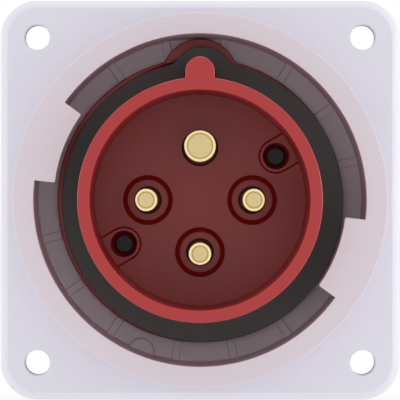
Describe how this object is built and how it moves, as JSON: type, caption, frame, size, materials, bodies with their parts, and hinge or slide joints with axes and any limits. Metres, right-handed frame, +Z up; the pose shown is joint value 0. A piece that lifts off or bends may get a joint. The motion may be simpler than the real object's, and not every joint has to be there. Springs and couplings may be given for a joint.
{
  "type": "panel mount appliance inlet",
  "caption": "Square flange panel inlet with round contact pins in a keyed red shroud, a face gasket and a turning bayonet locking ring; terminals behind the panel.",
  "frame": {"origin": "on the pin axis, in the plane of the panel that the inlet is screwed to (rear face of the panel gasket)", "axes": "+Y along the pin axis, away from the mating side and through the panel; +Z up to the earth pin and the key"},
  "size_m": [0.092, 0.081, 0.092],
  "materials": {
    "flange_plastic": "fine moulded satin, light grey",
    "ring_plastic": "fine moulded satin, light rose grey",
    "red_plastic": "moulded satin, signal red",
    "black_rubber": "matt moulded rubber",
    "pin_brass": "turned, fine lines",
    "holder_plastic": "moulded satin, dark grey",
    "black_steel": "black passivated",
    "bright_steel": "bright plated"
  },
  "bodies": {
    "inlet": {"flange_housing": "flange_plastic", "shroud_carrier": "red_plastic", "face_gasket": "black_rubber", "carrier_o_ring": "black_rubber", "panel_gasket": "black_rubber", "earth_pin": "pin_brass", "phase_pin_left": "pin_brass", "phase_pin_right": "pin_brass", "phase_pin_bottom": "pin_brass", "earth_pin_seal": "black_rubber", "phase_pin_seal_left": "black_rubber", "phase_pin_seal_right": "black_rubber", "phase_pin_seal_bottom": "black_rubber", "rear_holder": "holder_plastic", "insert_screws": "black_steel", "terminal_screws": "bright_steel"},
    "ring": {"locking_ring": "ring_plastic"}
  },
  "joints": [
    {"name": "ring_turn", "type": "hinge", "parent": "inlet", "child": "ring", "pos_m": [0, -0.009, 0], "axis": [0, -1, 0], "range_deg": [0, 40]}
  ]
}
